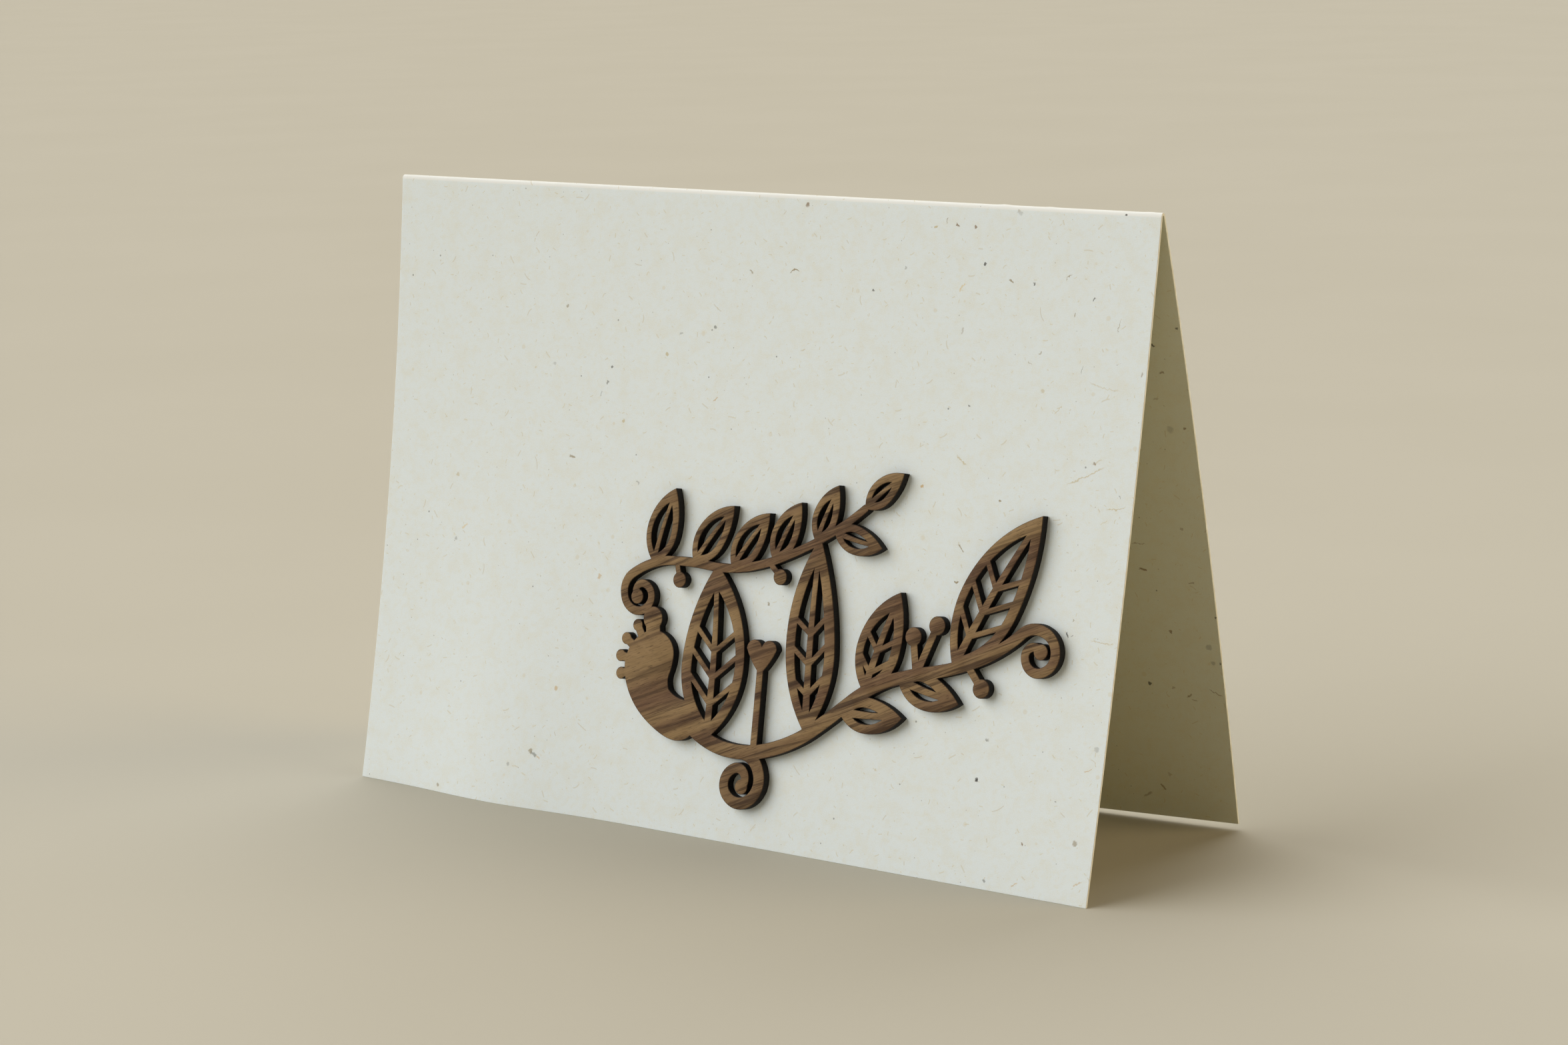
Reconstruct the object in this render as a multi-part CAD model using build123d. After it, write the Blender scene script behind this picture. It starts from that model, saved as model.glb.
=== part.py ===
from build123d import *
import os
from math import atan2, copysign, cos, degrees, pi, radians, sin

os.makedirs("parts", exist_ok=True)

# The card: one sheet folded once, standing like a tent with its fold at the top.
# X runs along the fold, the front panel faces -Y, and the two foot edges rest on Z = 0.
# The sheet is slightly twisted: its panels lean further out at the right end than at the left.
card_width = 148.0
panel_height = 105.0
sheet_thickness = 0.4
fold_inner_radius = 0.2
lean_left = 9.7
lean_right = 13.7
front_hollow_left = 1.9
front_hollow_right = 1.05
back_bulge = 1.3
foot_trim = 1.0

# The ornament: a vine and a baby's foot, cut as one openwork piece from thin wood.
# It is drawn flat from the foot's heel, where the main stem starts, with its X to the right.
wood_thickness = 1.6
heel_above_foot_edge = 18.0
right_margin = 7.5

# The stem and the thinner twig above it, which starts to the left of the heel.
stem_length = 61.0
stem_root_width = 2.5
stem_tip_width = 1.9
twig_length = 45.0
twig_start_left = 15.0
twig_start_above = 23.2
twig_root_width = 1.6
twig_tip_width = 1.3

# Leaves: slimness is a leaf's width, and droop its tip's sag, as a share of its length.
# A tall leaf's tip goes past the middle of the twig by the overlap.
first_tall_leaf_width = 12.5
second_tall_leaf_width = 9.5
tall_leaf_bend = 4.0
tip_overlap = 0.5
top_leaf_length = 28.0
middle_leaf_length = 17.0
low_leaf_length = 12.0
twig_leaf_length = 13.4
twig_leaf_shrink = 0.33
leaf_slimness = 0.48
long_leaf_slimness = 0.39
leaf_droop = 0.09
leaf_widest = 0.42
tall_leaf_rim = 1.9
stem_leaf_rim = 1.6
twig_leaf_rim = 1.15
stem_leaf_rib = 1.2
twig_leaf_rib = 0.8
leaf_vein = 0.9

# A heart and berries on stalks, and tendrils that end in a bead.
heart_size = 5.7
heart_stalk_length = 13.0
stem_stalk = 1.3
stem_berry_radius = 1.5
long_berry_stalk = 8.5
short_berry_stalk = 6.0
low_berry_stalk = 4.5
twig_stalk = 1.0
twig_berry_radius = 1.3
twig_berry_stalk = 3.2
stem_curl = 9.5
stem_curl_width = 2.3
tip_curl = 8.5
twig_curl = 7.5
curl_bead_radius = 1.25
curl_shrink = 0.78

# The baby's foot.
foot_length = 19.3
foot_turn = 128.0
sole_arcs = 18
big_toe_radius = 1.95
small_toe_radius = 1.0
toe_neck = 1.5
toe_reach = 8.0
toe_step = 0.3
toe_spacing = 24.0
first_toe = -30.0

fold_radius = fold_inner_radius + sheet_thickness
panel_length = panel_height - fold_radius
heel_from_right_edge = stem_length + tip_curl + right_margin


def fold_height(lean):
    """Height of the middle of the fold's curve above the floor, at one end."""
    return panel_length * cos(lean) - fold_radius * sin(lean)


def foot_reach(lean):
    """How far a foot edge stands out from below the fold, at one end."""
    return panel_length * sin(lean) + fold_radius * cos(lean)


def panel_line(side, lean, bulge, depth):
    """One panel seen from its end, at a depth below its outer face: an arc from fold to floor.

    side is -1 for the front and 1 for the back, and bulge is how far its middle stands out.
    """
    outwards = Vector(side * cos(lean), sin(lean))
    top = Vector(0, fold_height(lean)) + outwards * (fold_radius - depth)
    foot = Vector(side * (foot_reach(lean) - depth / cos(lean)), 0)
    middle = (top + foot) / 2 + outwards * bulge
    return ThreePointArc(top, middle, foot)


def foot_lines(outer, inner):
    """The end of a panel below the floor, from its outer to its inner line, to be trimmed off."""
    down = Vector(0, -foot_trim)
    corners = [outer @ 1, outer @ 1 + down, inner @ 1 + down, inner @ 1]
    return [Line(start, end) for start, end in zip(corners, corners[1:])]


def sheet_end(x, lean, front_hollow):
    """The end of the folded sheet: two bowed panels joined by a round fold."""
    front = panel_line(-1, lean, -front_hollow, 0)
    front_inside = panel_line(-1, lean, -front_hollow, sheet_thickness)
    back = panel_line(1, lean, back_bulge, 0)
    back_inside = panel_line(1, lean, back_bulge, sheet_thickness)
    middle = Vector(0, fold_height(lean))
    outline = [
        front,
        *foot_lines(front, front_inside),
        front_inside,
        ThreePointArc(front_inside @ 0, middle + Vector(0, fold_inner_radius), back_inside @ 0),
        back_inside,
        *foot_lines(back, back_inside),
        back,
        ThreePointArc(back @ 0, middle + Vector(0, fold_radius), front @ 0),
    ]
    return Plane.YZ.offset(x) * make_face(outline)


def wood_end(x, lean, front_hollow):
    """The end of a layer of wood that follows the front panel's outer face."""
    underside = panel_line(-1, lean, -front_hollow, 0)
    face = panel_line(-1, lean, -front_hollow, -wood_thickness)
    outline = [underside, Line(underside @ 1, face @ 1), face, Line(face @ 0, underside @ 0)]
    return Plane.YZ.offset(x) * make_face(outline)


def across_the_card(end):
    """A solid that runs straight from the card's left end to its right end."""
    left = end(-card_width / 2, radians(lean_left), front_hollow_left)
    right = end(card_width / 2, radians(lean_right), front_hollow_right)
    return loft([left, right], ruled=True)


def scaled(points, size):
    """Points given as shares of a size."""
    return [Vector(x, y) * size for x, y in points]


def arcs_through(points):
    """A chain of arcs, each through three points in turn."""
    chain = []
    for first in range(0, len(points) - 2, 2):
        chain.append(ThreePointArc(points[first], points[first + 1], points[first + 2]))
    return chain


def stroke(line, start_width, end_width, arcs=1):
    """A band along a line with round ends, whose width changes evenly from start to end.

    Each of its long edges is drawn with the given number of arcs.
    """
    left = []
    right = []
    for station in range(2 * arcs + 1):
        along = station / (2 * arcs)
        half_width = (start_width * (1 - along) + end_width * along) / 2
        sideways = (line % along).rotate(Axis.Z, 90) * half_width
        left.append(line @ along + sideways)
        right.append(line @ along - sideways)
    end_cap = ThreePointArc(left[-1], line @ 1 + (line % 1) * (end_width / 2), right[-1])
    start_cap = ThreePointArc(right[0], line @ 0 - (line % 0) * (start_width / 2), left[0])
    return make_face([*arcs_through(left), end_cap, *arcs_through(right[::-1]), start_cap])


def bar(start, end, width):
    """A straight band with round ends."""
    along = (end - start).normalized() * (width / 2)
    sideways = along.rotate(Axis.Z, 90)
    return make_face([
        Line(start + sideways, end + sideways),
        ThreePointArc(end + sideways, end + along, end - sideways),
        Line(end - sideways, start - sideways),
        ThreePointArc(start - sideways, start - along, start + sideways),
    ])


def leaf_outline(start, length, width, droop):
    """A leaf along X, round at its base and pointed at its tip, which hangs aside by the droop."""
    tip = (start + length, droop)
    edges = []
    for side in (1, -1):
        widest = (start + leaf_widest * length, droop / 4 + side * width / 2)
        edges.append(TangentArc(widest, (start, 0), tangent=(-1, 0)))
        edges.append(TangentArc(widest, tip, tangent=(1, 0)))
    return make_face(edges)


def open_leaf(length, width, droop, rim, rib, veins=0):
    """A leaf from the origin along X, cut open between its rim, its midrib and its side veins."""
    outline = leaf_outline(0, length, width, droop)
    base_web = 1.35 * rim
    tip_web = 2.05 * rim
    opening_length = length - base_web - tip_web
    opening_droop = droop * opening_length / length
    leaf = outline - leaf_outline(base_web, opening_length, width - 2 * rim, opening_droop)
    rib_end = length - 0.7 * tip_web
    rib_line = ThreePointArc((0, 0), (rib_end / 2, 0.22 * droop), (rib_end, 0.85 * droop))
    leaf += stroke(rib_line, 1.2 * rib, 0.8 * rib)
    for vein in range(veins):
        root = rib_line @ (0.22 + 0.5 * vein / veins)
        for side in (1, -1):
            end = root + Vector(width / 2, side * 0.55 * width)
            leaf += bar(root, end, leaf_vein) & outline
    return leaf


def stalked(length, width, tip):
    """A straight stalk from the origin along X that carries a berry or a heart."""
    return bar(Vector(0, 0), Vector(length, 0), width) + Pos(length, 0) * tip


def heart(size):
    """A heart with its point just behind the origin and its lobes towards X."""
    edges = []
    for side in (1, -1):
        shoulder = (0.72 * size, side * 0.52 * size)
        edges.append(ThreePointArc((0, 0), (0.40 * size, side * 0.34 * size), shoulder))
        edges.append(ThreePointArc(shoulder, (0.98 * size, side * 0.27 * size), (0.80 * size, 0)))
    return Pos(-0.1 * size, 0) * make_face(edges)


def curl(size, turns, hand, start_width, end_width):
    """A tendril that leaves the origin along X, winds inwards evenly and ends in a bead."""
    steps = round(8 * turns)
    points = []
    for step in range(steps + 1):
        angle = 2 * pi * step / 8
        radius = size / 2 * (1 - curl_shrink * step / steps)
        points.append(Vector(radius * sin(angle), hand * (size / 2 - radius * cos(angle))))
    line = Spline(points)
    band = stroke(line, start_width, end_width, round(4 * turns))
    return band + Pos(line @ 1) * Circle(curl_bead_radius)


def baby_foot():
    """A footprint from its heel along X: a sole with a hollow on its right, and five toes."""
    inner_side = [(-0.145, 0), (-0.10, -0.13), (0.04, -0.195), (0.21, -0.085), (0.33, -0.045)]
    ball_side = [(0.45, -0.155), (0.60, -0.265), (0.76, -0.235), (0.872, -0.03), (0.80, 0.20)]
    outer_side = [(0.62, 0.312), (0.38, 0.335), (0.10, 0.255)]
    sole = Spline(scaled(inner_side + ball_side + outer_side, foot_length), periodic=True)
    around = [sole @ (station / (2 * sole_arcs)) for station in range(2 * sole_arcs)]
    foot = make_face(arcs_through([*around, around[0]]))
    ball = Vector(0.56 * foot_length, 0)
    for number, radius in enumerate([big_toe_radius] + 4 * [small_toe_radius]):
        angle = radians(first_toe + toe_spacing * number)
        toe = ball + Vector(cos(angle), sin(angle)) * (toe_reach - toe_step * number)
        foot += bar(ball, toe, toe_neck * radius) + Pos(toe) * Circle(radius)
    return foot


def heading(direction):
    """The angle of a direction in degrees, from X towards Y."""
    return degrees(atan2(direction.Y, direction.X))


def growing(line, along, turn, motif):
    """A motif that grows from a stem, turned from the stem's own direction."""
    return Pos(line @ along) * Rot(0, 0, heading(line % along) + turn) * motif


def spanning(start, end, width, bend):
    """A tall veined leaf that bridges two lines, with its tip bent aside by an angle."""
    span = end - start
    reach = span.length + tip_overlap
    length = reach * cos(radians(bend))
    droop = reach * sin(radians(bend))
    leaf = open_leaf(length, width, droop, tall_leaf_rim, stem_leaf_rib, 3)
    return Pos(start) * Rot(0, 0, heading(span) - bend) * leaf


def vine_outline():
    """The whole ornament, flat: the foot, the main stem and the thinner twig above it."""
    stem_shape = [(0, 0), (0.164, -0.052), (0.377, 0.016), (0.590, 0.172), (0.787, 0.230), (1, 0.344)]
    twig_shape = [(0, 0), (0.178, 0.067), (0.444, 0.062), (0.689, 0.129), (1, 0.322)]
    twig_start = Vector(-twig_start_left, twig_start_above)
    stem = Spline(scaled(stem_shape, stem_length))
    twig = Spline([twig_start + point for point in scaled(twig_shape, twig_length)])
    outline = Pos(-0.1 * foot_length, 0) * Rot(0, 0, foot_turn) * baby_foot()
    outline += stroke(stem, stem_root_width, stem_tip_width, 8)
    outline += stroke(twig, twig_root_width, twig_tip_width, 6)

    # Two tall leaves stand on the stem and hold the twig at their tips.
    outline += spanning(stem @ 0.06, twig @ 0.37, first_tall_leaf_width, tall_leaf_bend)
    outline += spanning(stem @ 0.36, twig @ 0.80, second_tall_leaf_width, -tall_leaf_bend)

    # Leaves of the stem: place along it, turn from it, length, slimness and side veins.
    for along, turn, length, slimness, veins in [
        (0.55, 44, middle_leaf_length, leaf_slimness, 2),
        (0.80, 50, top_leaf_length, long_leaf_slimness, 3),
        (0.47, -44, low_leaf_length, leaf_slimness, 0),
        (0.65, -36, low_leaf_length, leaf_slimness, 0),
    ]:
        droop = copysign(leaf_droop * length, -turn)
        leaf = open_leaf(length, slimness * length, droop, stem_leaf_rim, stem_leaf_rib, veins)
        outline += growing(stem, along, turn, leaf)

    # Leaves of the twig: place along it and turn from it. They get smaller towards its tip.
    for along, turn in [(0.10, 62), (0.27, 62), (0.43, 56), (0.60, 50), (0.78, 46), (0.86, -50), (1, 6)]:
        length = twig_leaf_length * (1 - twig_leaf_shrink * along)
        droop = copysign(leaf_droop * length, -turn)
        leaf = open_leaf(length, leaf_slimness * length, droop, twig_leaf_rim, twig_leaf_rib)
        outline += growing(twig, along, turn, leaf)

    # A heart and berries on stalks: place along the line, turn from it and length.
    heart_stalk = stalked(heart_stalk_length, stem_stalk, heart(heart_size))
    outline += growing(stem, 0.205, 82, heart_stalk)
    for along, turn, length in [(0.70, 56, long_berry_stalk), (0.70, 88, short_berry_stalk),
                                (0.84, -70, low_berry_stalk)]:
        berry = stalked(length, stem_stalk, Circle(stem_berry_radius))
        outline += growing(stem, along, turn, berry)
    for along, turn in [(0.20, -76), (0.585, -62)]:
        berry = stalked(twig_berry_stalk, twig_stalk, Circle(twig_berry_radius))
        outline += growing(twig, along, turn, berry)

    # Tendrils below the stem, at its tip and at the left end of the twig.
    outline += growing(stem, 0.17, -2, curl(stem_curl, 1.35, -1, stem_curl_width, 1.6))
    outline += growing(stem, 1, 0, curl(tip_curl, 1.3, -1, stem_tip_width, 1.4))
    outline += growing(twig, 0, 180, curl(twig_curl, 1.2, 1, twig_root_width, twig_tip_width))
    return outline


# The panels' ends are trimmed level, so that both foot edges rest flat on the floor.
folded_card = split(across_the_card(sheet_end), bisect_by=Plane.XY, keep=Keep.TOP)

# The ornament's outline is cut through the layer of wood square to the middle of the panel.
lean_middle = radians((lean_left + lean_right) / 2)
panel_plane = Plane(
    origin=(0, -foot_reach(lean_middle), 0),
    x_dir=(1, 0, 0),
    z_dir=(0, -cos(lean_middle), sin(lean_middle)),
)
heel = Pos(card_width / 2 - heel_from_right_edge, heel_above_foot_edge)
cut_reach = wood_thickness + front_hollow_left + panel_length * radians(lean_right - lean_left)
cut = extrude(panel_plane * heel * vine_outline(), amount=cut_reach, both=True)
walnut_ornament = across_the_card(wood_end) & cut

for name, solid in [("folded_card", folded_card), ("walnut_ornament", walnut_ornament)]:
    solid.label = name
    export_step(solid, f"parts/{name}.step")
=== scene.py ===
import math
import bpy
import numpy as np
from mathutils import Matrix, Vector


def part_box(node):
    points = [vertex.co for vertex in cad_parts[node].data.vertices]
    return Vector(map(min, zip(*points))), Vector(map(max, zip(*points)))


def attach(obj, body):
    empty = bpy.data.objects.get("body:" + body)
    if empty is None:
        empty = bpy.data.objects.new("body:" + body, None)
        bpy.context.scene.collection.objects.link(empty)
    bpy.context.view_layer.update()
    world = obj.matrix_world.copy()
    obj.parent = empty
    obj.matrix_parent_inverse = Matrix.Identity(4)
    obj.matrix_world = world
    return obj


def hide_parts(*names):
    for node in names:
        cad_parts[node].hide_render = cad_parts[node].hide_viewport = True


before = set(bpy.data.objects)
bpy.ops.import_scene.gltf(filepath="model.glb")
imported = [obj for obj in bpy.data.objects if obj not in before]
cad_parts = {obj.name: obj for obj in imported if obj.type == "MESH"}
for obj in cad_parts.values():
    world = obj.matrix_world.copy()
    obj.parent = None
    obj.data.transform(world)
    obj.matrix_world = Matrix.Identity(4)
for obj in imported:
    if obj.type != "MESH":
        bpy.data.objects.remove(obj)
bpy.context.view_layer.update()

mm = 0.001
scene = bpy.context.scene


# Small helpers

def makeMesh(name, places, faces, materials, faceMaterials, sharpAngle=35):
    # A mesh object from arrays: corner places, quads or triangles, and a material number for each face.
    mesh = bpy.data.meshes.new(name)
    mesh.from_pydata(places.tolist(), [], faces.tolist())
    for material in materials:
        mesh.materials.append(material)
    mesh.polygons.foreach_set("material_index", np.asarray(faceMaterials, np.int32))
    mesh.shade_smooth()
    mesh.set_sharp_from_angle(angle=math.radians(sharpAngle))
    mesh.update()
    piece = bpy.data.objects.new(name, mesh)
    scene.collection.objects.link(piece)
    return piece


def node(tree, kind, values=None, **settings):
    # A shader node. values are numbers or the outputs that feed its inputs, by name or number.
    made = tree.nodes.new(kind)
    for setting, value in settings.items():
        setattr(made, setting, value)
    for socket, value in (values or {}).items():
        if isinstance(value, bpy.types.NodeSocket):
            tree.links.new(value, made.inputs[socket])
        else:
            made.inputs[socket].default_value = value
    return made


def calc(tree, operation, *values):
    # A Math node's output.
    made = node(tree, "ShaderNodeMath", dict(enumerate(values)), operation=operation)
    return made.outputs[0]


def product(tree, first, *others):
    # Several values multiplied.
    for other in others:
        first = calc(tree, "MULTIPLY", first, other)
    return first


def ramp(tree, value, low, high, start=0.0, end=1.0):
    # A smooth step: start below low, end above high.
    made = node(tree, "ShaderNodeMapRange", {
        "Value": value, "From Min": low, "From Max": high, "To Min": start, "To Max": end,
    }, interpolation_type="SMOOTHSTEP")
    return made.outputs["Result"]


def blendColours(tree, share, first, second, mode="MIX"):
    # One colour laid over another by a share from 0 to 1.
    made = node(tree, "ShaderNodeMix", data_type="RGBA", blend_type=mode)
    for socket, value in (("Factor_Float", share), ("A_Color", first), ("B_Color", second)):
        found = next(one for one in made.inputs if one.identifier == socket)
        if isinstance(value, bpy.types.NodeSocket):
            tree.links.new(value, found)
        else:
            found.default_value = value
    return next(one for one in made.outputs if one.identifier == "Result_Color")


def noise(tree, place, scale, detail=2.0, roughness=0.5):
    # A noise value from 0 to 1 at a place.
    made = node(tree, "ShaderNodeTexNoise", {
        "Vector": place, "Scale": scale, "Detail": detail, "Roughness": roughness,
    })
    return made.outputs["Fac"]


def coat(tree, tone, pattern, low, high, strength, tint):
    # A tint over a tone: none of it where the pattern is at low, and its full strength at high.
    return blendColours(tree, ramp(tree, pattern, low, high, 0, strength), tone, tint)


def colour(red, green, blue):
    # A colour given as it looks on a screen, from 0 to 255, in Blender's own linear numbers.
    share = np.array([red, green, blue]) / 255
    linear = np.where(share <= 0.04045, share / 12.92, ((share + 0.055) / 1.055) ** 2.4)
    return (*linear.tolist(), 1.0)


def newMaterial(name, roughness, specular):
    # A material with its Principled shader, whose plain numbers are set on the shader itself.
    material = bpy.data.materials.new(name)
    material.use_nodes = True
    tree = material.node_tree
    shader = tree.nodes["Principled BSDF"]
    shader.inputs["Roughness"].default_value = roughness
    shader.inputs["Specular IOR Level"].default_value = specular
    return material, tree, shader


def addBump(tree, shader, height, depth, strength):
    # Relief from a height pattern, with its depth in millimetres.
    bump = node(tree, "ShaderNodeBump", {"Height": height, "Distance": depth * mm, "Strength": strength})
    tree.links.new(bump.outputs["Normal"], shader.inputs["Normal"])


# The camera, fitted to the corners and edges of the card in the photograph

view = {
    "place": (0.3233, -0.4696, 0.1539),  # in metres
    "heading": 34.23, "downwards": 10.5, "roll": -1.31,  # in degrees
    "focalPixels": 5286.4, "imageWidth": 2352,  # in the photograph's pixels
    "sensor": 36.0,  # in millimetres
    "nearest": 0.01, "farthest": 100,  # what it sees, in metres
}


def makeCamera():
    # It looks level along the heading, is tilted down, and is then rolled about its own line of sight.
    data = bpy.data.cameras.new("photoCamera")
    data.sensor_width = view["sensor"]
    data.lens = view["focalPixels"] / view["imageWidth"] * view["sensor"]
    data.clip_start = view["nearest"]
    data.clip_end = view["farthest"]
    camera = bpy.data.objects.new("photoCamera", data)
    turn = Matrix.Rotation(math.radians(view["heading"]), 4, "Z")
    tilt = Matrix.Rotation(math.radians(90 - view["downwards"]), 4, "X")
    roll = Matrix.Rotation(math.radians(view["roll"]), 4, "Z")
    camera.matrix_world = Matrix.Translation(view["place"]) @ turn @ tilt @ roll
    scene.collection.objects.link(camera)
    scene.camera = camera


makeCamera()
print("camera placed")


# The card: one folded sheet, with its real lines taken from end to end

card = {
    "width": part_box("folded_card")[1].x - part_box("folded_card")[0].x,
    "panelHeight": 105 * mm, "thickness": 0.4 * mm, "foldInside": 0.2 * mm,
    # each panel's lean in degrees and how far it stands off a straight line, at the card's two ends
    "leanLeft": 9.7, "leanRight": 13.7,
    "hollowLeft": 1.9 * mm, "hollowRight": 1.05 * mm, "bulgeBack": 1.3 * mm,
    # the grid: columns along the fold, and rows over each panel and over the fold
    "columns": 240, "panelRows": 64, "foldRows": 12,
    # wear: the wave in the front panel's foot, and the lift of the back panel's right corner
    "footWave": 1.5 * mm, "footWaveAt": -44 * mm, "footWaveHalf": 16 * mm,
    "backLift": 1.0 * mm,
    # unevenness: the shortest and longest wave in millimetres, the faint cockle of the panels, and the
    # fold's roughness, whose waves are shorter along the fold
    "waveLengths": (7, 34),
    "cockle": 0.035 * mm, "cockleSeed": 11, "cockleWaves": 7,
    "foldRough": 0.02 * mm, "foldRoughSeed": 5, "foldRoughWaves": 12, "foldRoughShortening": 6,
    # bumps where the fold's surface is torn up a little: place along it, height and half length
    "foldBumps": ((46.5, 0.09, 0.9), (54.6, 0.05, 0.7), (71.8, 0.06, 0.8), (-21.0, 0.04, 0.8)),
    # the cut edges' rounding, on edges that turn by more than roundedFrom degrees
    "edgeRounding": 0.07 * mm, "roundingSteps": 2, "roundedFrom": 50,
    "insideShift": 300,  # how far right of the outside the inside lies on the flat sheet, in millimetres
}
card["foldOutside"] = card["foldInside"] + card["thickness"]
card["panelLength"] = card["panelHeight"] - card["foldOutside"]


def arcThrough(start, middle, end, count):
    # Points evenly spaced on the circle through three points, which are complex numbers y + iz.
    # The centre follows from the ratio w = (end - start) / (middle - start).
    ratio = (end - start) / (middle - start)
    centre = start - (start - middle) * (ratio - abs(ratio) ** 2) / (2j * ratio.imag)
    angles = np.unwrap(np.angle(np.array([start, middle, end]) - centre))
    return centre + abs(start - centre) * np.exp(1j * np.linspace(angles[0], angles[2], count))


def foldHeight(lean):
    # How high the middle of the fold's round is: a panel's straight height less what its lean takes off.
    return card["panelLength"] * math.cos(lean) - card["foldOutside"] * math.sin(lean)


def panelLine(side, lean, bulge, depth):
    # One panel's line at one end of the card, from the fold to the floor, at a depth in the sheet: an
    # arc that stands off the straight line by the bulge at its middle.
    outwards = side * math.cos(lean) + 1j * math.sin(lean)
    reach = card["panelLength"] * math.sin(lean) + card["foldOutside"] * math.cos(lean)
    top = 1j * foldHeight(lean) + outwards * (card["foldOutside"] - depth)
    foot = side * (reach - depth / math.cos(lean))
    return arcThrough(top, (top + foot) / 2 + outwards * bulge, foot, card["panelRows"] + 1)


def sheetSection(lean, frontHollow):
    # The sheet's closed section: the outside from the front foot over the fold to the back foot,
    # and the inside back again, as complex numbers y + iz.
    sides = []
    for depth in (0, card["thickness"]):
        front = panelLine(-1, lean, -frontHollow, depth)[::-1]
        back = panelLine(1, lean, card["bulgeBack"], depth)
        top = 1j * (foldHeight(lean) + card["foldOutside"] - depth)
        fold = arcThrough(front[-1], top, back[0], card["foldRows"] + 1)[1:-1]
        sides.append(np.concatenate([front, fold, back]))
    return np.concatenate([sides[0], sides[1][::-1]])


def ripple(across, along, seed, waves):
    # A gentle unevenness from -1 to 1: a few sine waves with random directions and lengths.
    dice = np.random.default_rng(seed)
    total = np.zeros(np.broadcast(across, along).shape)
    for _ in range(waves):
        length = dice.uniform(*card["waveLengths"]) * mm
        angle, phase = dice.uniform(0, 2 * np.pi, 2)
        total += np.sin((across * np.cos(angle) + along * np.sin(angle)) * 2 * np.pi / length + phase)
    return total / waves


def buildCard(materials):
    # The sheet as a grid: its section at the left end blends straight into the one at the right.
    left = sheetSection(math.radians(card["leanLeft"]), card["hollowLeft"])
    right = sheetSection(math.radians(card["leanRight"]), card["hollowRight"])
    around = len(left)
    half = around // 2
    rows = card["panelRows"]
    share = np.linspace(0, 1, card["columns"] + 1)[:, None]
    across = (share - 0.5) * card["width"]
    section = left * (1 - share) + right * share
    place = np.stack([np.broadcast_to(across, section.shape), section.real, section.imag], axis=-1)

    # How far each point is from the foot of its panel (0) towards the fold (1), and along the sheet.
    upOutside = np.concatenate([np.linspace(0, 1, rows + 1), np.ones(card["foldRows"] - 1),
                                np.linspace(1, 0, rows + 1)])
    up = np.concatenate([upOutside, upOutside[::-1]])
    middle = section[card["columns"] // 2]
    along = np.concatenate([[0], np.cumsum(np.abs(np.diff(middle[:half])))])
    along = np.concatenate([along, along[::-1]])
    number = np.arange(around)
    onFront = (number <= rows) | (number >= around - 1 - rows)
    onBack = ~onFront & (up < 1)
    onFold = (number > rows) & (number < half - 1 - rows)

    # The front panel's foot bends out in one soft wave that dies away up the panel.
    wave = card["footWave"] * np.exp(-((across - card["footWaveAt"]) / card["footWaveHalf"]) ** 2)
    place[..., 1] -= wave * onFront * (1 - up) ** 3
    # The back panel's right corner is lifted off the floor a little.
    place[..., 2] += card["backLift"] * share ** 2 * onBack * (1 - up)
    # Both faces of the sheet share the same faint cockle, which leaves the foot and the fold alone.
    cockle = card["cockle"] * ripple(across, along, card["cockleSeed"], card["cockleWaves"])
    cockle *= np.sin(np.pi * up) ** 0.5
    place[..., 1] += cockle * np.where(onFront, -1, 1)
    # The fold is a little rough, with a few torn fibres that stand up.
    rough = card["foldRough"] * ripple(across * card["foldRoughShortening"], along,
                                       card["foldRoughSeed"], card["foldRoughWaves"])
    for at, height, halfLength in card["foldBumps"]:
        rough = rough + height * mm * np.exp(-((across / mm - at) / halfLength) ** 2)
    place[..., 2] += rough * onFold * np.sin(np.pi * (number - rows) / card["foldRows"]) ** 2

    # Quads around the section and along the fold, and a strip of quads over each cut end.
    column, ring = np.meshgrid(np.arange(card["columns"]), number, indexing="ij")
    following = (ring + 1) % around
    first, second = column * around + ring, column * around + following
    walls = np.stack([first, first + around, second + around, second], axis=-1).reshape(-1, 4)
    outer = np.arange(half - 1)
    end = np.stack([outer, outer + 1, around - 2 - outer, around - 1 - outer], axis=-1)
    last = card["columns"] * around
    faces = np.concatenate([walls, end, (end + last)[:, ::-1]])
    # materials: the front up to the middle of the fold, the rest of the sheet, and its cut edges
    kind = np.where(ring < rows + card["foldRows"] // 2, 0, 1)
    kind[(ring == half - 1) | (ring == around - 1)] = 2
    material = np.concatenate([kind.reshape(-1), np.full(2 * len(end), 2)])
    piece = makeMesh("cardSheet", place.reshape(-1, 3), faces, materials, material)

    # The sheet laid flat in millimetres is its UV map, with the front panel below the fold, the back
    # panel above it and the inside as a sheet of its own to the right.
    flat = np.stack([np.broadcast_to(way, section.shape) for way in (across, along)], axis=-1)
    flat = (flat - (0, along[half // 2])) / mm
    flat[:, half:, 0] += card["insideShift"]
    layer = piece.data.uv_layers.new(name="flatSheet")
    layer.data.foreach_set("uv", flat.reshape(-1, 2)[faces.reshape(-1)].reshape(-1))

    rounding = piece.modifiers.new("softEdges", "BEVEL")
    rounding.width = card["edgeRounding"]
    rounding.segments = card["roundingSteps"]
    rounding.limit_method = "ANGLE"
    rounding.angle_limit = math.radians(card["roundedFrom"])
    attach(piece, "root")
    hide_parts("folded_card")
    return piece


# Card stock: a natural recycled paper with clouds, plant fibres and dark specks

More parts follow.
